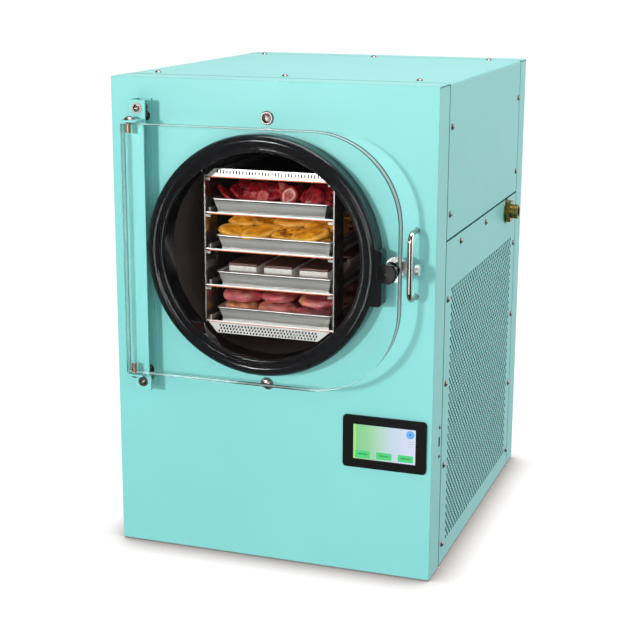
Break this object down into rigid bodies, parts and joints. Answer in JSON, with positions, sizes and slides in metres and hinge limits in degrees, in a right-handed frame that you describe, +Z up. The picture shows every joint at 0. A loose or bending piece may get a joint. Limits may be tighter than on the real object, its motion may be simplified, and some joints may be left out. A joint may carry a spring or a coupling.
{
  "type": "freeze dryer",
  "caption": "Small freeze dryer: sheet-metal cabinet with a round vacuum chamber, clear swing door, tray rack, touch screen and side vacuum port.",
  "frame": {"origin": "on the floor under the middle of the cabinet, at the centre of the four feet", "axes": "+X to the right seen from the front, +Y to the rear, +Z up; the door faces -Y"},
  "size_m": [0.516, 0.6196, 0.6679],
  "materials": {
    "teal_paint": "satin powder coat",
    "zinc_steel": "zinc-plated sheet",
    "stainless": "satin stainless",
    "chrome_trim": "polished",
    "chamber_black": "satin black coating",
    "gasket_rubber": "satin moulded rubber",
    "foot_rubber": "matt",
    "foam": "rigid foam",
    "copper_tube": "drawn copper",
    "heater_silicone": "woven silicone sheet",
    "tray_aluminium": "satin pressed sheet",
    "strawberry": "moist fruit, stands in for food",
    "yellow_fruit": "moist fruit, stands in for food",
    "sandwich": "frozen sandwich, stands in for food",
    "meat": "sliced food, stands in for food",
    "black_bolt": "black oxide",
    "clear_acrylic": "clear acrylic with polished edges",
    "copper_bush": "sintered bronze",
    "brass_part": "turned brass",
    "knob_plastic": "gloss moulded",
    "bezel_plastic": "fine texture",
    "screen": "lit colour touch screen",
    "circuit_board": "green laminate",
    "socket_plastic": "moulded",
    "rocker_plastic": "translucent red",
    "lever_vinyl": "dipped vinyl",
    "compressor_black": "gloss black",
    "condenser_fins": "bare fins",
    "guard_black": "black",
    "fan_plastic": "moulded"
  },
  "bodies": {
    "cabinet": {"front_panel": "teal_paint", "rear_panel": "teal_paint", "upper_cover": "teal_paint", "right_lower_panel": "teal_paint", "left_lower_panel": "teal_paint", "base_pan": "teal_paint", "hinge_bracket": "teal_paint", "cabinet_frame": "zinc_steel", "deck": "zinc_steel", "chamber_cradle": "zinc_steel", "hex_nuts": "zinc_steel", "panel_screws": "stainless", "chamber_bolts": "stainless", "rack_frame": "stainless", "shelf_plates": "stainless", "rack_baffle": "stainless", "hinge_screws": "stainless", "hinge_pins": "stainless", "catch_ring": "stainless", "keeper_block": "stainless", "usb_screws": "stainless", "drain_tube": "stainless", "chamber_drum": "chamber_black", "gasket": "gasket_rubber", "feet": "foot_rubber", "insulation": "foam", "evaporator_coil": "copper_tube", "refrigerant_lines": "copper_tube", "heater_mats": "heater_silicone", "tray_1": "tray_aluminium", "tray_2": "tray_aluminium", "tray_3": "tray_aluminium", "tray_4": "tray_aluminium", "strawberry_slices": "strawberry", "yellow_slices": "yellow_fruit", "sandwich_bars": "sandwich", "meat_slices": "meat", "bracket_bolts": "black_bolt", "vacuum_fitting": "brass_part", "fitting_nut": "brass_part", "drain_valve": "brass_part", "display_bezel": "bezel_plastic", "display_screen": "screen", "control_board": "circuit_board", "usb_port": "socket_plastic", "power_inlet": "socket_plastic", "switch_frame": "socket_plastic", "compressor": "compressor_black", "condenser": "condenser_fins", "fan_guard": "guard_black"},
    "door": {"door_plate": "clear_acrylic", "door_bushings": "copper_bush", "latch_bush": "brass_part", "latch_collar": "chrome_trim"},
    "latch": {"latch_spindle": "stainless", "latch_cam": "stainless", "latch_knob": "knob_plastic"},
    "fan": {"fan_rotor": "fan_plastic"},
    "drain_handle": {"drain_lever": "lever_vinyl"},
    "rocker": {"power_rocker": "rocker_plastic"}
  },
  "joints": [
    {"name": "door_hinge", "type": "hinge", "parent": "cabinet", "child": "door", "pos_m": [-0.183, -0.3105, 0.437], "axis": [0, 0, -1], "range_deg": [0, 160]},
    {"name": "latch_turn", "type": "hinge", "parent": "door", "child": "latch", "pos_m": [0.184, -0.32, 0.438], "axis": [0, -1, 0], "range_deg": [0, 90]},
    {"name": "fan_spin", "type": "hinge", "parent": "cabinet", "child": "fan", "pos_m": [0.148, -0.01, 0.128], "axis": [1, 0, 0], "continuous": true},
    {"name": "drain_turn", "type": "hinge", "parent": "cabinet", "child": "drain_handle", "pos_m": [-0.2465, -0.15, 0.2065], "axis": [0, 0, -1], "range_deg": [0, 90]},
    {"name": "rocker_tilt", "type": "hinge", "parent": "cabinet", "child": "rocker", "pos_m": [-0.095, 0.264, 0.06], "axis": [1, 0, 0], "range_deg": [0, 17]}
  ]
}
